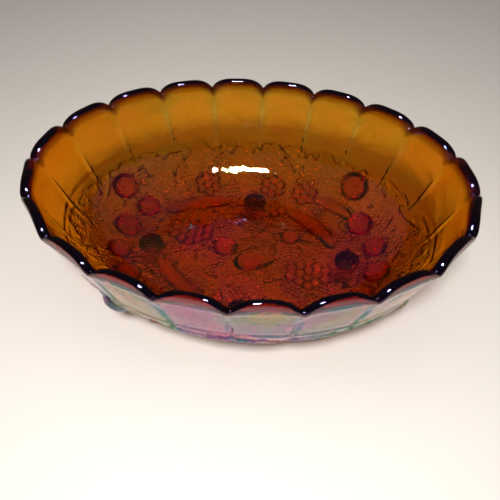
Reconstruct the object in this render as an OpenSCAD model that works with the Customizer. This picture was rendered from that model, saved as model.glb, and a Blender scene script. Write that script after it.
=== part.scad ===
// Oval four-footed art glass bowl: panelled wall, scalloped rim and moulded fruit on the outside.
// Millimetres, +Z up, origin on the table under the middle of the bowl, X along the long axis.

/* [Overall size] */
// Length over the rim, between the two end cusps
bowl_length = 305; // [250:1:370]
// Width over the rim, between the two side cusps
bowl_width = 216; // [178:1:262]
// Height from the table to the top of the rim arches
bowl_height = 114; // [94:1:138]

/* [Glass] */
// Thickness of the glass in the floor and the wall
glass_thickness = 6; // [5:0.5:8]
// Clear height under the glass where the feet stand
foot_height = 26; // [21:1:32]
// Diameter of a foot where it meets the table
foot_diameter = 18; // [15:0.5:21.6]

/* [Rim and panels] */
// Rise of each arch above the cusps beside it
arch_rise = 8; // [3:0.5:12]
// How far the middle of each panel stands out at the rim
panel_bulge = 1.1; // [0:0.1:2]
// Depth of the thick rolled band at the rim
rim_depth = 9; // [6:0.5:14]

/* [Moulded fruit] */
// How far the biggest fruit stands out from the glass
relief_depth = 7; // [5:0.5:9]
// Diameter of one grape
grape_diameter = 7; // [5:0.2:8.4]

/* [Hidden] */
$fn = 48;

amber = [0.62, 0.27, 0.05, 0.45];
deep_amber = [0.35, 0.10, 0.06, 0.6];
red_amber = [0.55, 0.10, 0.02, 0.60];
gold_amber = [0.75, 0.40, 0.08, 0.50];

half_length = bowl_length / 2;
half_width = bowl_width / 2;
mean_radius = (half_length + half_width) / 2;
cusp_height = bowl_height - arch_rise;

panel_count = 20;
steps_per_panel = 6;
steps = panel_count * steps_per_panel;
inner_rings = 8;
wall_rings = 3;
rim_rings = 6;

// The section of the bowl, drawn at its mean radius: flat floor, one big arc, flaring wall.
wall_slope = 72;
arc_radius = (cusp_height - foot_height) * 0.66;
inner_floor = foot_height + glass_thickness;
arc_centre_height = inner_floor + arc_radius;
inner_arc_top = arc_centre_height - arc_radius * cos(wall_slope);
inner_rim_radius = mean_radius - glass_thickness / sin(wall_slope);
inner_arc_top_radius = inner_rim_radius - (cusp_height - inner_arc_top) / tan(wall_slope);
arc_centre_radius = inner_arc_top_radius - arc_radius * sin(wall_slope);

// Outside, the arc is cut into flat courses, whose corners lie a little beyond the glass thickness.
corner_allowance = 1.8;
outer_radius = arc_radius + glass_thickness + corner_allowance;
first_corner = acos((arc_radius + glass_thickness) / outer_radius);
shoulder_corner = 60;
corners = [first_corner, (first_corner + shoulder_corner) / 2, shoulder_corner];

// Equal steps of the ellipse angle crowd the panels at the ends, and this spreads them evenly.
roundness_gap = (half_length ^ 2 - half_width ^ 2) / (half_length ^ 2 + half_width ^ 2);
panel_spread = 11.3 * roundness_gap;

function ellipse_angle(turn) = turn + panel_spread * sin(2 * turn);
arch_sharpness = 3.2; // 2 is a plain parabola; more makes the top flatter and the cusps sharper
arch_lean = -1.4; // the top of each arch leans in, over the straight line between its cusps
function arch(across) = 1 - abs(2 * across - 1) ^ arch_sharpness;

// A station is [radius at the mean section, height].
function outer_station(corner) =
    [arc_centre_radius + outer_radius * sin(corner), arc_centre_height - outer_radius * cos(corner)];
function inner_station(slope) =
    [arc_centre_radius + arc_radius * sin(slope), arc_centre_height - arc_radius * cos(slope)];

stations = [for (corner = corners) outer_station(corner)];
shoulder = stations[2];
inner_shoulder = inner_station(shoulder_corner);
shoulder_ring = 6;

function on_oval(radius, angle, out, height) =
    let (share = radius / mean_radius)
    [(half_length * share + out) * cos(angle), (half_width * share + out) * sin(angle), height];

// A ring with a straight side to each panel, and with the middle of each side pushed out.
function panel_ring(radius, bulge, heights) = [
    for (i = [0:steps - 1])
        let (
            panel = floor(i / steps_per_panel),
            across = (i % steps_per_panel) / steps_per_panel,
            start = on_oval(radius[0], ellipse_angle(panel * 360 / panel_count), 0, 0),
            end = on_oval(radius[0], ellipse_angle((panel + 1) * 360 / panel_count), 0, 0),
            height = heights[0] + heights[1] * arch(across),
            lean = (1 + radius[1] * arch(across) / radius[0]),
            middle = ellipse_angle((panel + 0.5) * 360 / panel_count),
            push = bulge * sin(180 * across)
        )
        [
            (start[0] + (end[0] - start[0]) * across) * lean + push * cos(middle),
            (start[1] + (end[1] - start[1]) * across) * lean + push * sin(middle),
            height
        ]
];

// A ring that follows the oval itself.
function round_ring(radius, sink, heights) = [
    for (i = [0:steps - 1])
        let (across = (i % steps_per_panel) / steps_per_panel)
        on_oval(
            radius[0] + radius[1] * arch(across),
            ellipse_angle(i * 360 / steps),
            -sink,
            heights[0] + heights[1] * arch(across)
        )
];

// The inside is round low down and has a straight side to each panel at the rim.
function blended(low, high, share) = [for (i = [0:steps - 1]) low[i] * (1 - share) + high[i] * share];

// The triangles between two rings that start at these points of the list.
function band(low, high) = [
    for (i = [0:steps - 1])
        let (j = (i + 1) % steps)
        for (half = [[low + i, low + j, high + j], [low + i, high + j, high + i]]) half
];

// Joins closed rings into a tube that closes on itself: a solid hoop.
module hoop(rings) {
    count = len(rings);
    faces = [for (k = [0:count - 1]) for (face = band(k * steps, (k + 1) % count * steps)) face];
    polyhedron([for (one = rings) for (p = one) p], faces, convexity = 10);
}

// Joins closed rings, with a flat face over the first and the last: a solid dish.
module dish(rings) {
    count = len(rings);
    sides = [for (k = [0:count - 2]) for (face = band(k * steps, (k + 1) * steps)) face];
    caps = [[for (i = [steps - 1:-1:0]) i], [for (i = [0:steps - 1]) (count - 1) * steps + i]];
    polyhedron([for (one = rings) for (p = one) p], concat(sides, caps), convexity = 10);
}

function reversed(list) = [for (k = [len(list) - 1:-1:0]) list[k]];

function inner_ring(slope) =
    let (station = inner_station(slope)) round_ring([station[0], 0], 0, [station[1], 0]);

module bowl_body() {
    outside = [for (station = stations) panel_ring([station[0], 0], 0, [station[1], 0])];
    inside = [for (k = [0:inner_rings]) inner_ring(shoulder_corner * k / inner_rings)];
    color(amber) dish(concat(outside, reversed(inside)));
}

// The wall leans out from the shoulder to the rim; a share of 1 is the lower edge of the rim band.
rim_foot = cusp_height - rim_depth;
lean_per_rise = 1 / tan(wall_slope);

function outer_wall_ring(share) =
    let (
        climb = rim_foot - shoulder[1],
        reach = mean_radius - rim_depth * lean_per_rise - shoulder[0],
        height = shoulder[1] + climb * share,
        radius = shoulder[0] + reach * (1 - (1 - share) ^ 2) * 0.5 + reach * share * 0.5
    )
    panel_ring(
        [radius, arch_lean * share],
        panel_bulge * 4 * share * (1 - share),
        [height, arch_rise * share]
    );

function inner_wall_ring(share) =
    let (
        height = inner_arc_top + (rim_foot - inner_arc_top) * share,
        radius = inner_arc_top_radius + (height - inner_arc_top) * lean_per_rise
    )
    blended(
        round_ring([radius, arch_lean * share], 0, [height, arch_rise * share]),
        panel_ring([radius, arch_lean * share], 0, [height, arch_rise * share]),
        share
    );

module panel_wall() {
    outside = [for (k = [0:wall_rings]) outer_wall_ring(k / wall_rings)];
    inside = concat(
        [for (k = [0:1]) inner_ring(shoulder_corner + (wall_slope - shoulder_corner) * k / 2)],
        [for (k = [0:wall_rings - 1]) inner_wall_ring(k / (wall_rings - 1))]
    );
    color(amber) hoop(concat(outside, reversed(inside)));
}

// The band at the top: it starts at the wall's own edges and is rounded over.
module scalloped_rim() {
    outside = outer_wall_ring(1);
    inside = inner_wall_ring(1);
    crown = [
        for (k = [0:rim_rings])
            let (turn = 180 * k / rim_rings, inward = (1 - cos(turn)) / 2, up = rim_depth - 3 * (1 - sin(turn)))
            [
                for (i = [0:steps - 1])
                    let (lean = up * lean_per_rise, angle = ellipse_angle(i * 360 / steps))
                    outside[i] + (inside[i] - outside[i]) * inward
                        + [lean * cos(angle), lean * sin(angle), up]
            ]
    ];
    color(deep_amber) hoop(concat([outside], crown, [inside]));
}

// Feet

foot_ring = 0.505;
foot_places = [
    [half_length * foot_ring, 0],
    [0, half_width * foot_ring],
    [-half_length * foot_ring, 0],
    [0, -half_width * foot_ring]
];
foot_edge = 1.5;
rib_count = 12;
rib_diameter = foot_diameter * 0.16;

module foot(number) {
    radius = foot_diameter / 2;
    color(red_amber)
        translate([foot_places[number][0], foot_places[number][1], 0]) {
            rotate_extrude()
                polygon([
                    [0, 0],
                    [radius - foot_edge, 0],
                    [radius, foot_edge],
                    [radius + 0.8, foot_height],
                    [0, foot_height]
                ]);
            for (i = [0:rib_count - 1])
                rotate([0, 0, i * 360 / rib_count])
                    translate([radius + 0.2, 0, foot_edge * 2])
                        cylinder(h = foot_height - foot_edge * 2, d = rib_diameter);
        }
}

// Places for the moulded fruit

// Sets its children under the flat floor, with their own +Z pointing down and out of the glass.
module on_floor(x, y, heading = 0) {
    translate([x * half_length, y * half_width, foot_height])
        rotate([180, 0, heading])
            children();
}

function corner_point(course, panel) = on_oval(
    stations[course][0],
    ellipse_angle(panel * 360 / panel_count),
    0,
    stations[course][1]
);
function unit(v) = v / norm(v);

// Sets its children on a flat of the outside: X runs round the bowl, Y up its side, Z out of it.
module on_flat(course, panel, round = 0, up = 0) {
    low = [corner_point(course, panel), corner_point(course, panel + 1)];
    high = [corner_point(course + 1, panel), corner_point(course + 1, panel + 1)];
    middle = (low[0] + low[1] + high[0] + high[1]) / 4;
    x = unit(low[1] - low[0]);
    z = unit(cross(x, high[0] + high[1] - low[0] - low[1]));
    y = cross(z, x);
    multmatrix([
        [x[0], y[0], z[0], middle[0]],
        [x[1], y[1], z[1], middle[1]],
        [x[2], y[2], z[2], middle[2]],
        [0, 0, 0, 1]
    ])
        translate([round, up, 0])
            children();
}

// The room a piece has on a flat, against the room at the sizes first given.
first_size = [305, 216, 80];
room = min(
    bowl_length / first_size[0],
    bowl_width / first_size[1],
    (cusp_height - foot_height) / first_size[2]
);

// Keeps what stands out of the glass, above the plane it is set on.
module stand_out(size) {
    difference() {
        children();
        translate([-size, -size, -size * 2]) cube([size * 2, size * 2, size * 2]);
    }
}

stem_diameter = 3;
largest_fruit = 22;

module round_fruit(diameter) {
    size = diameter * room;
    rise = relief_depth * diameter / largest_fruit;
    stand_out(size * 2) {
        translate([0, 0, rise - size / 2]) sphere(d = size);
        cylinder(h = rise + 0.5, d = stem_diameter);
    }
}

module pear(diameter) {
    size = diameter * room;
    rise = relief_depth * 0.75;
    neck = size * 0.95;
    stand_out(size * 3) {
        translate([0, 0, rise - size / 2]) sphere(d = size);
        translate([0, 0, rise * 0.3])
            rotate([0, 90, 0])
                cylinder(h = neck, d1 = size * 0.62, d2 = size * 0.3);
        translate([0, 0, rise * 0.3])
            rotate([0, 90, 0])
                cylinder(h = neck + 3, d = stem_diameter * 0.8);
    }
}

// A bunch of grapes in staggered rows along X, each a dome that clears its neighbours.
module grape_bunch(rows) {
    size = grape_diameter * room;
    pitch = size * 1.04;
    rise = relief_depth * 0.5 * room;
    for (row = [0:len(rows) - 1])
        for (i = [0:rows[row] - 1])
            translate([
                (row - (len(rows) - 1) / 2) * pitch * 0.88,
                (i - (rows[row] - 1) / 2) * pitch,
                0
            ])
                stand_out(size)
                    translate([0, 0, rise - size / 2])
                        sphere(d = size);
}

// A banana bowed about a centre on the -Y side, with tapered ends.
module banana(length, bow_radius, diameter) {
    reach = length * room;
    bow = bow_radius * room;
    size = diameter * room;
    sweep = reach * 180 / (PI * bow);
    lift = size * 0.05;
    taper = size * 0.7;
    tip_root = 1;
    stand_out(reach + size)
        translate([0, -bow, lift]) {
            rotate([0, 0, 90 - sweep / 2])
                rotate_extrude(angle = sweep)
                    translate([bow, 0])
                        circle(d = size);
            for (side = [-1, 1])
                rotate([0, 0, -side * sweep / 2])
                    translate([-side * tip_root, bow, 0])
                        rotate([0, side * 90, 0])
                            cylinder(h = taper + tip_root, d1 = size * 0.96, d2 = size * 0.35);
        }
}

leaf_thickness = 1.2;
rib_rise = 1.8;
lobes = 5;
outline_steps = 30;

// A vine leaf lying in X and Y, with a rib out to the tip of each lobe.
module leaf(size) {
    radius = size * room / 2;
    linear_extrude(leaf_thickness)
        polygon([
            for (i = [0:outline_steps - 1])
                let (turn = i * 360 / outline_steps, reach = radius * (0.8 + 0.2 * cos(lobes * turn)))
                [reach * cos(turn), reach * sin(turn)]
        ]);
    translate([0, 0, leaf_thickness / 2])
        linear_extrude(rib_rise - leaf_thickness / 2)
            polygon([
                for (lobe = [0:lobes - 1])
                    let (turn = lobe * 360 / lobes, valley = turn - 180 / lobes)
                    for (point = [[1.2, valley], [radius * 0.9, turn - 2], [radius * 0.9, turn + 2]])
                        [point[0] * cos(point[1]), point[0] * sin(point[1])]
            ]);
}

// The groups of moulded fruit. Each stands twice on the bowl, half a turn apart.
module half_turned(turned) {
    rotate([0, 0, turned ? 180 : 0]) children();
}

module apples(turned) {
    color(gold_amber)
        half_turned(turned) {
            on_flat(1, 2) round_fruit(largest_fruit);
            on_flat(0, 1) round_fruit(20);
            on_flat(0, 0) round_fruit(18);
        }
}

module plums(turned) {
    color(gold_amber)
        half_turned(turned) {
            on_flat(1, 8) round_fruit(20);
            on_flat(0, 8) round_fruit(18);
            on_flat(0, 9) round_fruit(20);
        }
}

module inner_banana(turned) {
    color(gold_amber) half_turned(turned) on_floor(0.33, 0.31, 138) banana(34, 50, 11);
}

module long_banana(turned) {
    color(gold_amber) half_turned(turned) on_floor(-0.31, 0.45, 198) banana(36, 70, 11);
}

module outer_banana(turned) {
    color(gold_amber) half_turned(turned) on_flat(0, 2) banana(20, 30, 9);
}

// How far up its flat an outer bunch sits, in grapes, so that it clears the banana below it.
bunch_lift = 0.3;

module large_grapes(turned) {
    color(gold_amber)
        half_turned(turned) {
            on_floor(-0.31, 0.15) grape_bunch([2, 3, 4, 3, 2]);
            on_flat(0, 6, 0, bunch_lift * grape_diameter * room) grape_bunch([2, 3, 2]);
        }
}

module small_grapes(turned) {
    color(gold_amber)
        half_turned(turned) {
            on_floor(0.135, 0.44) grape_bunch([2, 1]);
            on_flat(0, 4) grape_bunch([2, 3, 2]);
            on_flat(0, 3) grape_bunch([2, 3, 2]);
        }
}

module right_leaves(turned) {
    color(amber)
        half_turned(turned) {
            for (panel = [0, 1, 3, 4])
                on_flat(1, panel) rotate([0, 0, 90]) leaf(22);
        }
}

module left_leaves(turned) {
    color(amber)
        half_turned(turned) {
            for (panel = [5, 6, 7, 9])
                on_flat(1, panel) rotate([0, 0, 90]) leaf(22);
            on_flat(0, 5) rotate([0, 0, -90]) leaf(22);
            on_flat(0, 7) rotate([0, 0, -90]) leaf(17);
        }
}

module middle_leaves() {
    color(amber) {
        on_floor(0.03, 0.17, 60) leaf(24);
        on_floor(-0.08, -0.22, -120) leaf(24);
        for (turned = [false, true])
            half_turned(turned) on_floor(0.16, -0.36, 40) leaf(18);
    }
}

bowl_body();
panel_wall();
scalloped_rim();
foot(0);  // foot_right
foot(1);  // foot_back
foot(2);  // foot_left
foot(3);  // foot_front
color(gold_amber) on_floor(-0.12, 0.03) round_fruit(18);  // centre_apple
color(gold_amber) on_floor(0.04, -0.08, 15) pear(15);  // centre_pear
color(gold_amber) on_floor(0.21, 0.18) round_fruit(15);  // centre_peach
apples(false);  // apples_back_right
apples(true);  // apples_front_left
plums(false);  // plums_back_left
plums(true);  // plums_front_right
inner_banana(false);  // banana_back_right
inner_banana(true);  // banana_front_left
long_banana(false);  // banana_back_left
long_banana(true);  // banana_front_right
outer_banana(false);  // banana_outer_right
outer_banana(true);  // banana_outer_left
large_grapes(true);  // grapes_front_right
large_grapes(false);  // grapes_back_left
small_grapes(false);  // grapes_back_right
small_grapes(true);  // grapes_front_left
right_leaves(false);  // leaves_back_right
right_leaves(true);  // leaves_front_left
left_leaves(false);  // leaves_back_left
left_leaves(true);  // leaves_front_right
middle_leaves();  // leaves_centre
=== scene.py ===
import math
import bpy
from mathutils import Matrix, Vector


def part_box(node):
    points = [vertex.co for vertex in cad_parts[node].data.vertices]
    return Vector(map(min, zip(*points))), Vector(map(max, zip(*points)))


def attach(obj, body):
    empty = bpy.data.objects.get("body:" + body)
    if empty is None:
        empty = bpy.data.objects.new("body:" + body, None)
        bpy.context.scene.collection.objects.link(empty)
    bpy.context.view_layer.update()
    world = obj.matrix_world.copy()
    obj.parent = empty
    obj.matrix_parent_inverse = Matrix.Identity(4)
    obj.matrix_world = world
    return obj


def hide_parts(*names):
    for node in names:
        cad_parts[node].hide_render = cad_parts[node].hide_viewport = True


bl_info = {
    "name": "Oval footed glass bowl",
    "version": (1, 0, 0),
    "blender": (4, 5, 0),
    "location": "3D View > Sidebar > Glass bowl",
    "description": "Builds an oval amber glass bowl with a scalloped rim and moulded fruit",
    "category": "Add Mesh",
}

import bpy
import numpy as np
from mathutils import Matrix, Vector

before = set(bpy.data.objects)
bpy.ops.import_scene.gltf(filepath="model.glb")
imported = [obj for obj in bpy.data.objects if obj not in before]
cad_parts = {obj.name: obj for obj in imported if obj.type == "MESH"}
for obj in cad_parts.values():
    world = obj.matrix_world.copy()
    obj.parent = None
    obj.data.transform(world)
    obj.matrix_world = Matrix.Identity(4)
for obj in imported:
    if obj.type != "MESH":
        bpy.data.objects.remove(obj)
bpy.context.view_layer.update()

MM = 0.001
PANELS = 20
PANEL_TURN = 2 * math.pi / PANELS
PANEL_WIDTH = 42 * MM
STEPS_PER_PANEL = 48
STEPS = PANELS * STEPS_PER_PANEL
FEET = ("foot_right", "foot_back", "foot_left", "foot_front")

# The wall's slope, the shoulder's radius as a share of the height to the cusps, and how unevenly panels lie.
WALL_SLOPE = math.radians(72)
ARC_SHARE = 0.66
PANEL_SPREAD = math.radians(11.3)
# Up the shoulder the panels fade in between two slopes, and the relief fades out between two more.
PANELS_BEGIN, PANELS_FULL = math.radians(50), math.radians(62)
RELIEF_FADES, RELIEF_ENDS = math.radians(64), math.radians(69)
# The rounded crown starts this share of the rim's depth below its top.
CROWN_SHARE = 0.35


# The sizes of the bowl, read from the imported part.


def cad_vertices(node):
    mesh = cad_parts[node].data
    points = np.empty(len(mesh.vertices) * 3)
    mesh.vertices.foreach_get("co", points)
    return points.reshape(-1, 3)


def solids_of(node):
    """The vertices of each separate solid of a CAD node, welded where its faces share a point."""
    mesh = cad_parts[node].data
    points = cad_vertices(node)
    welded, index = np.unique(np.round(points / (0.02 * MM)).astype(np.int64), axis=0, return_inverse=True)
    index = index.ravel()
    group = np.arange(len(welded))

    def root(i):
        while group[i] != i:
            group[i] = group[group[i]]
            i = group[i]
        return i

    for edge in mesh.edges:
        a, b = root(index[edge.vertices[0]]), root(index[edge.vertices[1]])
        if a != b:
            group[b] = a
    roots = np.array([root(i) for i in range(len(welded))])[index]
    return [np.unique(np.round(points[roots == r], 6), axis=0) for r in sorted(set(roots))]


class Shape:
    """The bowl's driving sizes in metres, and the section that follows from them."""

    def __init__(self, sizes):
        low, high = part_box("scalloped_rim")
        self.half_length = (high.x - low.x) / 2
        self.half_width = (high.y - low.y) / 2
        self.mean = (self.half_length + self.half_width) / 2
        self.height = high.z
        self.arch = sizes.arch_rise
        self.cusp = self.height - self.arch
        self.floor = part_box("bowl_body")[0].z
        self.glass = sizes.glass_thickness
        self.rim_depth = sizes.rim_depth
        self.slope = WALL_SLOPE
        self.arc = (self.cusp - self.floor) * ARC_SHARE
        self.centre_height = self.floor + self.glass + self.arc
        self.arc_top = self.centre_height - self.arc * math.cos(self.slope)
        inner_rim = self.mean - self.glass / math.sin(self.slope)
        inner_top = inner_rim - (self.cusp - self.arc_top) / math.tan(self.slope)
        self.centre_radius = inner_top - self.arc * math.sin(self.slope)
        gap = (self.half_length**2 - self.half_width**2) / (self.half_length**2 + self.half_width**2)
        self.spread = PANEL_SPREAD * gap

    def underside(self, x, y):
        """Height of the smooth underside above a place on the table."""
        radius = self.mean * math.hypot(x / self.half_length, y / self.half_width)
        beyond = max(radius - self.centre_radius, 0.0)
        outer = self.arc + self.glass
        return self.centre_height - math.sqrt(outer * outer - beyond * beyond)

    def ellipse_angle(self, turn):
        return turn + self.spread * np.sin(2 * turn)

    def wall_top(self, arch):
        """Where the wall ends and the crown starts, for the share of its rise that the arch has there."""
        return self.cusp - self.rim_depth * CROWN_SHARE + self.arch * arch


def smooth(low, high, x):
    t = np.clip((x - low) / (high - low), 0, 1)
    return t * t * (3 - 2 * t)


# The glass: one closed skin, outside from the middle of the floor to the rim, then inside back down.


def round_turns():
    return np.arange(STEPS) * 2 * math.pi / STEPS


def level_ring(ring, height):
    return np.column_stack([ring, np.full(STEPS, height)])


def oval_ring(shape, radius, turns):
    """Places on the oval at some turns, for one mean radius or for one at each turn."""
    angle = shape.ellipse_angle(turns)
    share = radius / shape.mean
    along = shape.half_length * share * np.cos(angle)
    across = shape.half_width * share * np.sin(angle)
    return np.stack([along, across], axis=-1)


def outward(shape, turns):
    """Level directions out of the bowl at some turns."""
    angle = shape.ellipse_angle(turns)
    return np.stack([np.cos(angle), np.sin(angle)], axis=-1)


def panelled_ring(shape, radius, turns, bulge):
    """A ring with one straight side to each panel, and the middle of each side pushed out by the bulge."""
    panel = np.floor(turns / PANEL_TURN + 1e-9)
    across = turns / PANEL_TURN - panel
    start = oval_ring(shape, radius, panel * PANEL_TURN)
    end = oval_ring(shape, radius, (panel + 1) * PANEL_TURN)
    push = bulge * np.sin(math.pi * np.clip(across, 0, 1)) ** 0.8
    ring = start + (end - start) * across[:, None]
    return ring + outward(shape, (panel + 0.5) * PANEL_TURN) * push[:, None]


def across_panel(turns):
    """How far each turn is across its own panel, from 0 to 1."""
    return (turns / PANEL_TURN) % 1


def arch_of(turns):
    return 1 - np.abs(2 * across_panel(turns) - 1) ** 3.2


def groove_of(turns, sizes):
    """1 on the line between two panels, falling to 0 within the groove's half width."""
    across = across_panel(turns)
    from_crease = np.minimum(across, 1 - across) * PANEL_WIDTH
    return np.clip(1 - from_crease / sizes.groove_half_width, 0, 1)


def outer_rings(shape, sizes):
    """Rings of the outside, each with its points and how far up the relief may stand out there."""
    floor_count, arc_count, wall_count = 78, 112, 22
    turns = round_turns()
    out = outward(shape, turns)
    groove = groove_of(turns, sizes) * sizes.groove_depth
    outer_arc = shape.arc + shape.glass
    rings, room = [], []
    for k in range(1, floor_count + 1):
        rings.append(level_ring(oval_ring(shape, shape.centre_radius * k / floor_count, turns), shape.floor))
        room.append(1.0)
    for k in range(1, arc_count + 1):
        slope = shape.slope * k / arc_count
        radius = shape.centre_radius + outer_arc * math.sin(slope)
        height = shape.centre_height - outer_arc * math.cos(slope)
        panelled = float(smooth(PANELS_BEGIN, PANELS_FULL, slope))
        ring = oval_ring(shape, radius, turns) * (1 - panelled)
        ring = ring + panelled_ring(shape, radius, turns, sizes.panel_bulge) * panelled
        rings.append(level_ring(ring - out * (groove * panelled)[:, None], height))
        room.append(1 - float(smooth(RELIEF_FADES, RELIEF_ENDS, slope)))
    start_radius, start_height = radius, height
    arch = arch_of(turns)
    for k in range(1, wall_count + 1):
        share = k / wall_count
        heights = start_height + (shape.wall_top(arch) - start_height) * share
        climb = np.minimum((heights - start_height) / (shape.cusp - start_height), 1)
        radius = start_radius + (shape.mean - start_radius) * climb
        bulge = sizes.panel_bulge * (1 - share**2) - sizes.rim_lean * share**2
        ring = panelled_ring(shape, shape.mean, turns, bulge) * (radius / shape.mean)[:, None]
        below_top = shape.cusp + shape.arch * arch - heights
        edge = sizes.rim_depth * (0.30 + 0.95 * arch)
        band = smooth(edge * 1.08, edge * 0.92, below_top) * sizes.rim_swell
        band = band - groove * (1 - smooth(0.55, 0.9, share))
        ring = ring + out * (band - sizes.rim_swell)[:, None]
        rings.append(np.column_stack([ring, heights]))
        room.append(0.0)
    return rings, room


def crown_rings(shape, outside, inside):
    """Rounds the rim over, from the last ring outside to the first ring inside."""
    turns = round_turns()
    count = 12
    top = shape.cusp + shape.arch * arch_of(turns)
    rings = []
    for k in range(1, count):
        angle = math.pi * k / count
        across = (1 - math.cos(angle)) / 2
        ring = outside + (inside - outside) * across
        flat = outside[:, 2] * (1 - across) + inside[:, 2] * across
        ring[:, 2] = flat + (top - flat) * math.sin(angle) ** 0.8
        rings.append(ring)
    return rings


def inner_rings(shape, sizes):
    """Rings of the inside, from the middle of the floor up to the rim."""
    floor_count, arc_count, wall_count = 14, 40, 14
    turns = round_turns()
    arch = arch_of(turns)
    rings = []
    for k in range(1, floor_count + 1):
        ring = oval_ring(shape, shape.centre_radius * k / floor_count, turns)
        rings.append(level_ring(ring, shape.floor + shape.glass))
    for k in range(1, arc_count + 1):
        slope = shape.slope * k / arc_count
        radius = shape.centre_radius + shape.arc * math.sin(slope)
        height = shape.centre_height - shape.arc * math.cos(slope)
        rings.append(level_ring(oval_ring(shape, radius, turns), height))
    inner_rim = shape.mean - shape.glass / math.sin(shape.slope)
    for k in range(1, wall_count + 1):
        share = k / wall_count
        heights = height + (shape.wall_top(arch) - height) * share
        rim = inner_rim + np.minimum(heights - shape.cusp, 0) / math.tan(shape.slope)
        chord = panelled_ring(shape, shape.mean, turns, -sizes.rim_lean) * (rim / shape.mean)[:, None]
        ring = oval_ring(shape, rim, turns) * (1 - share) + chord * share
        rings.append(np.column_stack([ring, heights]))
    return rings


def grid_normals(grid):
    """Normals of a closed-round grid of rings, pointing out of the glass."""
    round_way = np.roll(grid, -1, axis=1) - np.roll(grid, 1, axis=1)
    up_way = np.gradient(grid, axis=0)
    normal = np.cross(round_way, up_way)
    length = np.linalg.norm(normal, axis=-1, keepdims=True)
    return normal / np.maximum(length, 1e-12)


# Moulded relief. Each mould gives, for points of the skin and their normals, how far to push them out.


def ball_push(points, normals, centre, radius):
    to_centre = centre - points
    along = np.einsum("ij,ij->i", to_centre, normals)
    inside = along**2 - np.einsum("ij,ij->i", to_centre, to_centre) + radius**2
    return np.where(inside > 0, along + np.sqrt(np.maximum(inside, 0)), 0)


class Skin:
    """The outside of the glass as points and normals, with the relief gathered as one push for each point."""

    def __init__(self, points, normals):
        self.points = points
        self.normals = normals
        self.push = np.zeros(len(points))
        self.leafy = np.zeros(len(points))

    def seat(self, point):
        """The place on the skin nearest to a point of the CAD part: position and normal."""
        nearest = np.argmin(np.einsum("ij,ij->i", self.points - point, self.points - point))
        return self.points[nearest], self.normals[nearest]

    def near(self, centre, reach):
        gap = self.points - centre
        return np.nonzero(np.einsum("ij,ij->i", gap, gap) < reach * reach)[0]

    def raise_to(self, chosen, push):
        self.push[chosen] = np.maximum(self.push[chosen], push)

    def cover(self, chosen, height, leafy):
        """Raises a leaf, and marks how much of its stipple shows there."""
        self.raise_to(chosen, height)
        self.leafy[chosen] = np.maximum(self.leafy[chosen], leafy)

    def ball(self, centre, radius):
        chosen = self.near(centre, radius * 1.02)
        self.raise_to(chosen, ball_push(self.points[chosen], self.normals[chosen], centre, radius))


def frame_at(normal, toward):
    """Two directions along the skin: one as near as can be to the given one, and one across it."""
    along = toward - normal * np.dot(toward, normal)
    along = along / max(np.linalg.norm(along), 1e-9)
    return along, np.cross(normal, along)


def mould_round_fruit(skin, solid):
    centre = solid.mean(axis=0)
    width = np.linalg.norm(solid - centre, axis=1).max() * 2
    base, normal = skin.seat(centre)
    radius = width * 0.54
    rise = width * 0.42
    heart = base + normal * (rise - radius)
    chosen = skin.near(base, radius * 1.2)
    points, normals = skin.points[chosen], skin.normals[chosen]
    push = ball_push(points, normals, heart, radius)
    from_middle = np.linalg.norm(points - base, axis=1)
    dimple = np.exp(-((from_middle / (radius * 0.30)) ** 2)) * radius * 0.20
    stem = np.exp(-((from_middle / (radius * 0.10)) ** 2)) * radius * 0.20
    skin.raise_to(chosen, np.where(push > 0, push - dimple + stem, 0))


def mould_pear(skin, solid):
    centre = solid.mean(axis=0)
    spread = solid - centre
    far = solid[np.argmax(np.linalg.norm(spread, axis=1))]
    length = np.linalg.norm(far - centre) * 1.6
    base, normal = skin.seat(centre)
    along, _ = frame_at(normal, far - centre)
    for t in np.linspace(0, 1, 24):
        radius = length * (0.36 * (1 - t) + 0.13 * t + 0.06 * math.sin(math.pi * t))
        heart = base + along * (t - 0.42) * length * 0.8 - normal * radius * 0.28
        skin.ball(heart, radius)


def mould_banana(skin, solid):
    centre = solid.mean(axis=0)
    _, _, axes = np.linalg.svd(solid - centre, full_matrices=False)
    position = (solid - centre) @ axes[0]
    reach = np.abs(position).max()
    across = (solid - centre) @ axes[1]
    bend = np.polyfit(position, across, 2)
    half = np.ptp(across - np.polyval(bend, position)) / 2
    for t in np.linspace(-1, 1, 64):
        middle = centre + axes[0] * t * reach + axes[1] * (np.polyval(bend, t * reach))
        base, normal = skin.seat(middle)
        base = middle - normal * np.dot(middle - base, normal)
        radius = half * (0.30 + 0.86 * math.sqrt(max(1 - t * t, 0)) ** 0.8)
        skin.ball(base - normal * radius * 0.18, radius)
        side = frame_at(normal, axes[1])[0]
        for offset in (-0.52, 0.0, 0.52):
            rise = math.sqrt(1 - offset**2) * radius - radius * 0.18
            skin.ball(base + side * offset * radius + normal * (rise - radius * 0.10), radius * 0.17)


def mould_grape(skin, solid):
    centre = solid.mean(axis=0)
    width = np.linalg.norm(solid - centre, axis=1).max() * 2
    base, normal = skin.seat(centre)
    radius = width * 0.50
    skin.ball(base + normal * radius * 0.08, radius)


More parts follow.
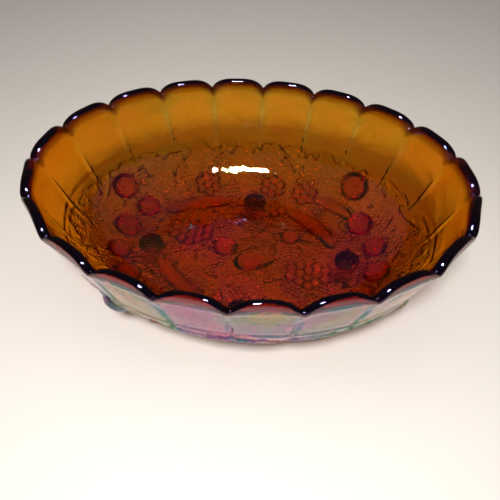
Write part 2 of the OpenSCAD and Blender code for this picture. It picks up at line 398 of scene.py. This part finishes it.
def leaf_shape(along, across, size):
    """Height of a vine leaf at places in its own plane, with lobes, teeth, ribs and fine grain."""
    reach = np.hypot(along, across) / size
    turn = np.arctan2(across, along)
    edge = 0.80 + 0.20 * np.cos(5 * turn) + 0.035 * np.cos(35 * turn)
    inside = smooth(0.0, 0.09, edge - reach)
    rib = np.zeros_like(reach)
    for lobe in range(5):
        angle = lobe * 2 * math.pi / 5
        ahead = along * math.cos(angle) + across * math.sin(angle)
        aside = np.abs(-along * math.sin(angle) + across * math.cos(angle))
        rib = np.maximum(rib, np.exp(-((aside / (0.05 * size)) ** 2)) * (ahead > 0))
        branch = np.abs(((ahead - aside * 1.1) / (size * 0.17)) % 1 - 0.5)
        rib = np.maximum(rib, 0.6 * np.exp(-((branch / 0.13) ** 2)) * (ahead > 0) * (aside < 0.42 * ahead))
    grain = np.sin(along / (0.42 * MM)) * np.sin(across / (0.42 * MM))
    return inside * (1.15 + 0.75 * rib + 0.16 * grain) * MM


def lay_leaf(skin, base, along, across, size, strength=1.0):
    chosen = skin.near(base, size * 1.15)
    gap = skin.points[chosen] - base
    height = leaf_shape(gap @ along, gap @ across, size) * strength
    skin.cover(chosen, height, height / MM)


def mould_leaf(skin, solid):
    centre = solid.mean(axis=0)
    spread = np.linalg.norm(solid - centre, axis=1)
    base, normal = skin.seat(centre)
    along, across = frame_at(normal, solid[np.argmax(spread)] - centre)
    lay_leaf(skin, base, along, across, spread.max() * 1.22)


def scatter_directions(count, seed):
    """Places spread evenly over the fruit: share of the way out, turn, and the source of random draws."""
    random = np.random.default_rng(seed)
    golden = math.pi * (3 - math.sqrt(5))
    for i in range(count):
        share = ((i + 0.5) / count) ** 0.40
        yield share, i * golden + random.uniform(-0.15, 0.15), random


def skin_place(skin, shape, share, turn):
    """The skin's point at a turn and a share of the way out to the panels, which is where the fruit stops."""
    reach = share * (skin.relief_radius / shape.mean)
    angle = shape.ellipse_angle(turn)
    goal = np.array([shape.half_length * reach * math.cos(angle), shape.half_width * reach * math.sin(angle)])
    gap = skin.points[:, :2] - goal
    below = skin.points[:, 2] < skin.relief_top
    nearest = np.argmin(np.where(below, np.einsum("ij,ij->i", gap, gap), 1e9))
    return skin.points[nearest], skin.normals[nearest]


def fill_with_leaves(skin, shape, sizes):
    """Small overlapping leaves between the fruit, lying in layers like tiles."""
    for share, turn, random in scatter_directions(sizes.filler_leaves, seed=4):
        base, normal = skin_place(skin, shape, share, turn)
        heading = random.uniform(0, 2 * math.pi)
        toward = np.array([math.cos(heading), math.sin(heading), 0.3 * random.uniform(-1, 1)])
        along, across = frame_at(normal, toward)
        size = random.uniform(8.0, 12.5) * MM
        lay_leaf(skin, base, along, across, size, strength=random.uniform(0.6, 0.85))


def long_leaf_shape(along, across, length, width):
    """Height of a long pointed leaf: a grooved midrib with side veins that slant forward."""
    half = width * np.maximum(1 - (along / length) ** 2, 0) ** 0.8
    inside = smooth(0.0, 0.7 * MM, half - np.abs(across))
    veins = np.sin((along - 0.8 * np.abs(across)) / (0.55 * MM))
    midrib = np.exp(-((across / (0.8 * MM)) ** 2))
    return inside * (1.2 + 0.32 * veins * (1 - midrib) + 0.55 * midrib) * MM


def fill_with_long_leaves(skin, shape, sizes):
    """Long pointed leaves between the fruit, each bowed a little to one side."""
    for share, turn, random in scatter_directions(sizes.long_leaves, seed=21):
        base, normal = skin_place(skin, shape, share, turn + 1.1)
        heading = random.uniform(0, 2 * math.pi)
        along, across = frame_at(normal, np.array([math.cos(heading), math.sin(heading), 0.0]))
        length = random.uniform(11, 19) * MM
        width = random.uniform(4.2, 6.5) * MM
        chosen = skin.near(base, length * 1.1)
        gap = skin.points[chosen] - base
        bow = random.uniform(-9, 9)
        height = long_leaf_shape(gap @ along, gap @ across + bow * (gap @ along) ** 2, length, width)
        height = height * random.uniform(0.8, 1.1)
        skin.cover(chosen, height, 0.5 * height / MM)


def fill_with_berries(skin, shape, sizes):
    """Loose sprays of small berries, each spray a short row with a few side by side."""
    for share, turn, random in scatter_directions(sizes.berry_sprays, seed=9):
        if share < 0.14:
            continue
        base, normal = skin_place(skin, shape, share * 0.95, turn + 0.4)
        heading = random.uniform(0, 2 * math.pi)
        along, across = frame_at(normal, np.array([math.cos(heading), math.sin(heading), 0.0]))
        for row in range(4):
            for column in range(4 - row):
                radius = random.uniform(1.7, 2.4) * MM
                place = base + along * (row * 3.2 * MM) + across * ((column - (3 - row) / 2) * 3.5 * MM)
                skin.ball(place + normal * 0.10 * radius, radius)


MOULDS = {
    "leaves_": mould_leaf,
    "grapes_": mould_grape,
    "banana_": mould_banana,
    "centre_pear": mould_pear,
    "centre_apple": mould_round_fruit,
    "centre_peach": mould_round_fruit,
    "apples_": mould_round_fruit,
    "plums_": mould_round_fruit,
}


def relief_nodes(prefix):
    return sorted(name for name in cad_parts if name.startswith(prefix))


def closed_faces(count):
    """Quads between neighbouring rings, and a fan of triangles to a middle point at each end."""
    step = np.arange(STEPS)
    after = (step + 1) % STEPS
    quads = []
    for k in range(count - 1):
        here, there = k * STEPS, (k + 1) * STEPS
        quads.append(np.column_stack([here + step, here + after, there + after, there + step]))
    faces = [tuple(q) for q in np.concatenate(quads).tolist()]
    first, last = count * STEPS, count * STEPS + 1
    top = (count - 1) * STEPS
    faces += [(first, int(b), int(a)) for a, b in zip(step, after)]
    faces += [(last, int(top + a), int(top + b)) for a, b in zip(step, after)]
    return faces


def mould_relief(skin, shape, sizes):
    """The small filling first, then each piece of fruit and leaf that the part has."""
    fill_with_leaves(skin, shape, sizes)
    fill_with_long_leaves(skin, shape, sizes)
    fill_with_berries(skin, shape, sizes)
    for prefix, mould in MOULDS.items():
        for node in relief_nodes(prefix):
            for solid in solids_of(node):
                mould(skin, solid)


def bowl_mesh(shape, sizes):
    """Points and faces of the glass, with its shares of rim band, leaf stipple and painted light and shade on
    the relief.
    """
    rings, room = outer_rings(shape, sizes)
    grid = np.array(rings)
    skin = Skin(grid.reshape(-1, 3), grid_normals(grid).reshape(-1, 3))
    skin.relief_radius = shape.centre_radius + (shape.arc + shape.glass) * math.sin(RELIEF_FADES)
    skin.relief_top = shape.centre_height
    mould_relief(skin, shape, sizes)
    allowed = np.repeat(np.array(room), STEPS)
    push = skin.push * allowed
    outside = (skin.points + skin.normals * push[:, None]).reshape(grid.shape)
    inner = inner_rings(shape, sizes)
    crown = crown_rings(shape, outside[-1], inner[-1])
    every = np.concatenate([outside, np.array(crown), np.array(inner[::-1])])
    low = np.array([[0, 0, shape.floor]])
    high = np.array([[0, 0, shape.floor + shape.glass]])
    points = np.concatenate([every.reshape(-1, 3), low, high])
    band = np.concatenate([rim_band_share(every.reshape(-1, 3), shape, sizes), [0, 0]])
    stipple = np.zeros(len(points))
    stipple[: len(push)] = np.clip(skin.leafy * allowed, 0, 1)
    painted_shading = np.ones(len(points))
    # Painted light and shade on the outer skin: raised tops lighter, the narrow places between them darker,
    # plain glass in the middle.
    painted_shading[: len(push)] = 0.5 + (painted_relief_shading(push.reshape(grid.shape[:2])).ravel() - 0.5) * allowed
    return points, closed_faces(len(every)), band, stipple, painted_shading


def spread_out(grid, reach):
    """Averages a closed-round grid over a few steps each way."""
    total = sum(np.roll(grid, k, axis=1) for k in range(-reach, reach + 1)) / (2 * reach + 1)
    padded = np.pad(total, ((reach, reach), (0, 0)), mode="edge")
    return sum(padded[k : k + len(grid)] for k in range(2 * reach + 1)) / (2 * reach + 1)


def painted_relief_shading(push):
    """Painted light and shade on the relief: half on plain glass, up to 1 for a painted highlight on raised
    tops and down to 0 for painted shade in the narrow places between them.
    """
    fine = (push - spread_out(push, 3)) / (0.35 * MM)
    broad = (push - spread_out(push, 9)) / (1.6 * MM)
    height = push / (5 * MM)
    return np.clip(0.60 + 0.35 * fine + 0.30 * broad + 0.40 * height, 0, 1)


def rim_band_share(points, shape, sizes):
    """1 in the thick band at the rim, falling to 0 below it; the band takes painted shade and a thinner film.
    """
    turns = np.tile(round_turns(), len(points) // STEPS)
    top = shape.cusp + shape.arch * arch_of(turns)
    return 1 - smooth(sizes.rim_depth * 0.55, sizes.rim_depth * 0.85, top - points[:, 2])


def add_share(piece, name, share):
    layer = piece.data.attributes.new(name, "FLOAT", "POINT")
    layer.data.foreach_set("value", np.asarray(share, dtype=np.float32))


def add_piece(name, points, faces, material, nodes):
    mesh = bpy.data.meshes.new(name)
    mesh.from_pydata(np.asarray(points).tolist(), [], faces)
    mesh.validate()
    mesh.update()
    mesh.polygons.foreach_set("use_smooth", [True] * len(mesh.polygons))
    piece = bpy.data.objects.new(name, mesh)
    bpy.context.scene.collection.objects.link(piece)
    mesh.materials.append(material)
    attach(piece, "root")
    if nodes:
        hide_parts(*nodes)
    return piece


# Feet: ribbed pegs, each a closed solid that stands a hair under the floor of the bowl.


def foot_mesh(node, shape):
    low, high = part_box(node)
    middle = (low + high) / 2
    radius = (high.x - low.x) / 2
    ribs, steps, hair = 12, 144, 0.04 * MM

    def top(x, y):
        return min(shape.underside(x, y), high.z + 1.5 * MM) - hair

    # Shares of the foot's radius and height up its side, and the depth of the flutes at each.
    profile = [
        (0.80, 0.0), (0.86, 0.012), (0.895, 0.045), (0.90, 0.10), (0.90, 0.40), (0.91, 0.70), (0.93, 0.88),
        (0.93, 1.0),
    ]
    flute = [0.0, 0.0, 0.05, 0.10, 0.10, 0.10, 0.07, 0.04]
    points, faces = [], []
    for (wide, up), deep in zip(profile, flute):
        for i in range(steps):
            angle = 2 * math.pi * i / steps
            ripple = abs(math.cos(ribs * angle / 2)) ** 0.7
            reach = radius * (wide - 0.07 * (deep > 0) + deep * 1.4 * ripple)
            reach = min(reach, radius)
            x, y = middle.x + reach * math.cos(angle), middle.y + reach * math.sin(angle)
            points.append((x, y, top(x, y) * up))
    top_reach = reach
    closing = (0.7, 0.4, 0.1)
    for share in closing:
        for i in range(steps):
            x = middle.x + top_reach * share * math.cos(2 * math.pi * i / steps)
            y = middle.y + top_reach * share * math.sin(2 * math.pi * i / steps)
            points.append((x, y, top(x, y)))
    rings = len(profile) + len(closing)
    for k in range(rings - 1):
        for i in range(steps):
            j = (i + 1) % steps
            faces.append((k * steps + i, k * steps + j, (k + 1) * steps + j, (k + 1) * steps + i))
    faces.append(tuple(range(steps - 1, -1, -1)))
    faces.append(tuple((rings - 1) * steps + i for i in range(steps)))
    return points, faces


# Glass


def feed(tree, socket, source):
    """Links a socket to an output, or sets its value."""
    if isinstance(source, bpy.types.NodeSocket):
        tree.links.new(source, socket)
    else:
        socket.default_value = source


def add_node(tree, kind, **sources):
    """A shader node with some of its inputs fed; a space in an input's name is written as an underscore."""
    made = tree.nodes.new(kind)
    for key, source in sources.items():
        feed(tree, made.inputs[key.replace("_", " ")], source)
    return made


def stored_share(tree, name):
    """One of the shares that are stored on the points of the glass."""
    made = tree.nodes.new("ShaderNodeAttribute")
    made.attribute_name = name
    return made.outputs["Fac"]


def add_ramp(tree, factor, low, high, middle=None):
    made = add_node(tree, "ShaderNodeValToRGB", Fac=factor)
    made.color_ramp.elements[0].color = (*low, 1)
    made.color_ramp.elements[1].color = (*high, 1)
    if middle is not None:
        made.color_ramp.elements.new(0.5).color = (*middle, 1)
    return made.outputs["Color"]


def mix_colours(tree, factor, first, second, blend="MIX"):
    made = add_node(tree, "ShaderNodeMix")
    made.data_type = "RGBA"
    made.blend_type = blend
    colours = [socket for socket in made.inputs if socket.type == "RGBA"]
    feed(tree, made.inputs["Factor"], factor)
    feed(tree, colours[0], first)
    feed(tree, colours[1], second)
    return next(out for out in made.outputs if out.type == "RGBA")


def tint_with_painted_shade(tree, look, tint):
    """The tint of the faces, with painted shade in the narrow places of the relief, a painted highlight on
    its raised tops, and the darkest painted shade in the rim band.
    """
    # Painted shade in the relief's narrow places and a painted highlight on its raised tops.
    painted_shading = add_ramp(tree, stored_share(tree, "painted_relief_shading"), look.crevice_shade, (1, 1, 1), look.plain_tint)
    relief_shaded = mix_colours(tree, 1.0, tint, painted_shading, "MULTIPLY")
    # Painted shade: the rim band takes the near-black rim tint.
    return mix_colours(tree, stored_share(tree, "rim_band"), relief_shaded, (*look.rim_shade, 1))


def film_thickness(tree, look, place):
    """The iridescent film, thicker in drifting patches and thin on the rim band."""
    drift = add_node(
        tree, "ShaderNodeTexNoise", Vector=place, Scale=7.0, Detail=3.0, Roughness=0.45, Distortion=0.8
    )
    patches = add_node(
        tree, "ShaderNodeMapRange", Value=drift.outputs["Fac"], From_Min=0.3, From_Max=0.7,
        To_Min=look.film_thin, To_Max=look.film_thick,
    )
    film = add_node(
        tree, "ShaderNodeMix", Factor=stored_share(tree, "rim_band"), A=patches.outputs["Result"],
        B=look.film_at_rim,
    )
    return film.outputs["Result"]


def stippled(tree, place, normal):
    """Fine dots pressed into the leaves, on top of the normal that the glass already has."""
    dots = add_node(tree, "ShaderNodeTexVoronoi", Vector=place, Scale=620.0)
    dotted = add_node(
        tree, "ShaderNodeBump", Distance=0.00045, Height=dots.outputs["Distance"],
        Strength=stored_share(tree, "leaf_stipple"), Normal=normal,
    )
    return dotted.outputs["Normal"]


def glass_material(name, look, depth_colour, banded=False):
    """Glass that colours with depth; the banded kind adds the painted light and shade of the relief and the
    rim band, the film and the leaf stipple.
    """
    material = bpy.data.materials.new(name)
    material.use_nodes = True
    tree = material.node_tree
    tree.nodes.clear()
    place = tree.nodes.new("ShaderNodeTexCoord").outputs["Object"]

    clouds = add_node(tree, "ShaderNodeTexNoise", Vector=place, Scale=14.0, Detail=2.0)
    brighter = [min(1, c * 1.06) for c in look.surface_tint]
    tint = add_ramp(tree, clouds.outputs["Fac"], look.surface_tint, brighter)
    haze = add_node(tree, "ShaderNodeTexNoise", Vector=place, Scale=60.0, Detail=4.0)
    rough = add_node(
        tree, "ShaderNodeMapRange", Value=haze.outputs["Fac"], To_Min=look.roughness * 0.5,
        To_Max=look.roughness * 1.5,
    )
    flow = add_node(tree, "ShaderNodeTexNoise", Vector=place, Scale=46.0, Detail=3.0, Distortion=0.6)
    bump = add_node(tree, "ShaderNodeBump", Strength=0.45, Distance=0.0016, Height=flow.outputs["Fac"])

    shader = add_node(
        tree, "ShaderNodeBsdfPrincipled", IOR=1.5, Transmission_Weight=1.0, Thin_Film_IOR=look.film_ior,
        Roughness=rough.outputs["Result"],
    )
    if banded:
        feed(tree, shader.inputs["Base Color"], tint_with_painted_shade(tree, look, tint))
        feed(tree, shader.inputs["Thin Film Thickness"], film_thickness(tree, look, place))
        feed(tree, shader.inputs["Normal"], stippled(tree, place, bump.outputs["Normal"]))
    else:
        feed(tree, shader.inputs["Base Color"], tint)
        feed(tree, shader.inputs["Normal"], bump.outputs["Normal"])
    depth = add_node(tree, "ShaderNodeVolumeAbsorption", Color=(*depth_colour, 1), Density=look.density)
    add_node(tree, "ShaderNodeOutputMaterial", Surface=shader.outputs["BSDF"], Volume=depth.outputs["Volume"])
    return material


def plain_material(name, colour, roughness):
    material = bpy.data.materials.new(name)
    material.use_nodes = True
    tree = material.node_tree
    shader = next(n for n in tree.nodes if n.type == "BSDF_PRINCIPLED")
    noise = add_node(tree, "ShaderNodeTexNoise", Scale=40.0)
    darker = [c * 0.97 for c in colour]
    feed(tree, shader.inputs["Base Color"], add_ramp(tree, noise.outputs["Fac"], darker, colour))
    shader.inputs["Roughness"].default_value = roughness
    return material


# Sizes and colours


class GlassBowlSizes(bpy.types.PropertyGroup):
    glass_thickness: bpy.props.FloatProperty(
        name="Glass thickness", description="Thickness of the wall and floor", default=6 * MM, unit="LENGTH"
    )
    arch_rise: bpy.props.FloatProperty(
        name="Arch rise", description="Rise of each rim arch above its cusps", default=8 * MM, unit="LENGTH"
    )
    panel_bulge: bpy.props.FloatProperty(
        name="Panel bulge", description="How far each panel stands out from flat",
        default=1.1 * MM, unit="LENGTH"
    )
    rim_depth: bpy.props.FloatProperty(
        name="Rim depth", description="Depth of the thick band at the rim", default=9 * MM, unit="LENGTH"
    )
    filler_leaves: bpy.props.IntProperty(
        name="Filler leaves", description="How many small leaves lie between the fruit", default=280, min=0
    )
    berry_sprays: bpy.props.IntProperty(
        name="Berry sprays", description="How many sprays of small berries lie between the fruit",
        default=70, min=0
    )
    long_leaves: bpy.props.IntProperty(
        name="Long leaves", description="How many long pointed leaves lie between the fruit",
        default=130, min=0
    )
    rim_lean: bpy.props.FloatProperty(
        name="Rim lean", description="How far the top of each arch leans in",
        default=1.4 * MM, unit="LENGTH"
    )
    groove_depth: bpy.props.FloatProperty(
        name="Groove depth", description="Depth of the groove between panels",
        default=1.5 * MM, unit="LENGTH"
    )
    groove_half_width: bpy.props.FloatProperty(
        name="Groove half width", description="Half the width of that groove",
        default=3.0 * MM, unit="LENGTH"
    )
    rim_swell: bpy.props.FloatProperty(
        name="Rim swell", description="How much the band stands out from the panels",
        default=0.7 * MM, unit="LENGTH"
    )


class GlassBowlLook(bpy.types.PropertyGroup):
    surface_tint: bpy.props.FloatVectorProperty(
        name="Surface tint", description="Tint at each face of the glass",
        default=(1.0, 0.97, 0.90), size=3,
        subtype="COLOR",
    )
    depth_colour: bpy.props.FloatVectorProperty(
        name="Depth colour", description="Colour that the glass takes with depth",
        default=(0.958, 0.76, 0.02), size=3,
        subtype="COLOR",
    )
    # Painted shade: the rim band is tinted near black to stand in for the dark look it has from light trapped
    # in the thick glass.
    rim_shade: bpy.props.FloatVectorProperty(
        name="Rim tint", description="Tint of the thick band at the rim",
        default=(0.10, 0.03, 0.06), size=3,
        subtype="COLOR",
    )
    density: bpy.props.FloatProperty(
        name="Depth density", description="How fast the glass darkens with depth, per metre", default=760.0
    )
    film_ior: bpy.props.FloatProperty(
        name="Film index", description="Refractive index of the iridescent film", default=1.85
    )
    # Painted shade in the narrow places of the relief; the relief's raised tops ramp up to white as a painted
    # highlight.
    crevice_shade: bpy.props.FloatVectorProperty(
        name="Crevice tint", description="Tint in the narrow places of the relief",
        default=(0.20, 0.09, 0.05),
        size=3, subtype="COLOR",
    )
    # Plain outer glass sits in the middle of the relief's painted light and shade.
    plain_tint: bpy.props.FloatVectorProperty(
        name="Plain tint", description="Tint where there is no relief", default=(0.80, 0.64, 0.50), size=3,
        subtype="COLOR",
    )
    foot_colour: bpy.props.FloatVectorProperty(
        name="Foot colour", description="Colour that the feet take with depth",
        default=(0.992, 0.55, 0.30), size=3,
        subtype="COLOR",
    )
    film_at_rim: bpy.props.FloatProperty(
        name="Film at the rim", description="Thickness of the film on the rim band, in nanometres",
        default=150.0
    )
    film_thin: bpy.props.FloatProperty(
        name="Thinnest film", description="Least thickness of the film, in nanometres", default=260.0
    )
    film_thick: bpy.props.FloatProperty(
        name="Thickest film", description="Greatest thickness of the film, in nanometres", default=520.0
    )
    roughness: bpy.props.FloatProperty(
        name="Roughness", description="Roughness of the glass faces", default=0.02
    )


class GLASSBOWL_OT_bowl(bpy.types.Operator):
    """Build the bowl with its panels, rim and moulded relief"""

    bl_idname = "glassbowl.bowl"
    bl_label = "Glass bowl"

    def execute(self, context):
        sizes = context.scene.glass_bowl_sizes
        look = context.scene.glass_bowl_look
        shape = Shape(sizes)
        points, faces, band, stipple, painted_shading = bowl_mesh(shape, sizes)
        nodes = [name for name in sorted(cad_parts) if name not in FEET]
        material = glass_material("amber_glass", look, look.depth_colour, banded=True)
        piece = add_piece("bowl_glass", points, faces, material, nodes)
        add_share(piece, "rim_band", band)
        add_share(piece, "leaf_stipple", stipple)
        # The relief's painted light and shade, which the tint of the faces reads.
        add_share(piece, "painted_relief_shading", painted_shading)
        return {"FINISHED"}


class GLASSBOWL_OT_feet(bpy.types.Operator):
    """Build the four ribbed feet"""

    bl_idname = "glassbowl.feet"
    bl_label = "Feet"

    def execute(self, context):
        look = context.scene.glass_bowl_look
        material = glass_material("foot_glass", look, look.foot_colour)
        shape = Shape(context.scene.glass_bowl_sizes)
        for node in FEET:
            points, faces = foot_mesh(node, shape)
            add_piece("ribbed_" + node, points, faces, material, [node])
        return {"FINISHED"}


def add_area(name, place, target, size, power, colour):
    lamp = bpy.data.lights.new(name, "AREA")
    lamp.shape = "RECTANGLE"
    lamp.size, lamp.size_y = size
    lamp.energy = power
    lamp.color = colour
    made = bpy.data.objects.new(name, lamp)
    made.location = place
    made.rotation_euler = (Vector(target) - Vector(place)).to_track_quat("-Z", "Y").to_euler()
    bpy.context.scene.collection.objects.link(made)
    return made


class GLASSBOWL_OT_stage(bpy.types.Operator):
    """Set the floor, the lights and the camera"""

    bl_idname = "glassbowl.stage"
    bl_label = "Stage"

    def execute(self, context):
        scene = context.scene
        low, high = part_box("scalloped_rim")
        bpy.ops.mesh.primitive_plane_add(size=4.0, location=(0, 0, 0))
        floor = context.object
        floor.name = "stage_floor"
        floor.data.materials.append(plain_material("pale_floor", (0.60, 0.54, 0.48), 0.6))

        world = bpy.data.worlds.new("studio")
        scene.world = world
        scene.view_settings.view_transform = "Standard"
        world.use_nodes = True
        background = world.node_tree.nodes["Background"]
        background.inputs["Color"].default_value = (0.90, 0.93, 1.0, 1)
        background.inputs["Strength"].default_value = 0.06
        soft = add_area("overhead", (0.0, 0.1, 1.3), (0, 0, 0.05), (1.2, 1.0), 6.5, (1, 0.97, 0.93))
        soft.visible_glossy = False
        add_area("front_key", (0.0, -0.36, 0.60), (0, 0.02, 0.05), (0.13, 0.08), 7.5, (0.94, 0.97, 1))

        # The camera aims between the middle and the near rim, in shares of the bowl's length and width.
        length, width = high.x - low.x, high.y - low.y
        cusp = high.z - context.scene.glass_bowl_sizes.arch_rise
        yaw, pitch, roll = math.radians(5.3), math.radians(50.5), math.radians(1.1)
        away = Vector((math.sin(yaw) * math.cos(pitch), -math.cos(yaw) * math.cos(pitch), math.sin(pitch)))
        aim = Vector((length * 0.0244, -width * 0.2877, cusp))
        distance = length * 0.97
        right = (-away).cross(Vector((0, 0, 1))).normalized()
        up = right.cross(-away)
        level = Matrix((right, up, away)).transposed().to_4x4()
        camera = bpy.data.cameras.new("camera")
        camera.sensor_width = 36
        camera.lens = 36.3
        camera.clip_start = 0.01
        view = bpy.data.objects.new("camera", camera)
        view.matrix_world = Matrix.Translation(aim + away * distance) @ level @ Matrix.Rotation(roll, 4, "Z")
        scene.collection.objects.link(view)
        scene.camera = view
        return {"FINISHED"}


class GLASSBOWL_PT_panel(bpy.types.Panel):
    bl_label = "Glass bowl"
    bl_space_type = "VIEW_3D"
    bl_region_type = "UI"
    bl_category = "Glass bowl"

    def draw(self, context):
        for name in GlassBowlSizes.__annotations__:
            self.layout.prop(context.scene.glass_bowl_sizes, name)
        for name in GlassBowlLook.__annotations__:
            self.layout.prop(context.scene.glass_bowl_look, name)
        for operator in (GLASSBOWL_OT_bowl, GLASSBOWL_OT_feet, GLASSBOWL_OT_stage):
            self.layout.operator(operator.bl_idname)


CLASSES = (
    GlassBowlSizes,
    GlassBowlLook,
    GLASSBOWL_OT_bowl,
    GLASSBOWL_OT_feet,
    GLASSBOWL_OT_stage,
    GLASSBOWL_PT_panel,
)


def register():
    for each in CLASSES:
        bpy.utils.register_class(each)
    bpy.types.Scene.glass_bowl_sizes = bpy.props.PointerProperty(type=GlassBowlSizes)
    bpy.types.Scene.glass_bowl_look = bpy.props.PointerProperty(type=GlassBowlLook)


def unregister():
    del bpy.types.Scene.glass_bowl_look
    del bpy.types.Scene.glass_bowl_sizes
    for each in reversed(CLASSES):
        bpy.utils.unregister_class(each)


def main():
    register()
    bpy.ops.glassbowl.bowl()
    bpy.ops.glassbowl.feet()
    bpy.ops.glassbowl.stage()


if __name__ == "__main__":
    main()
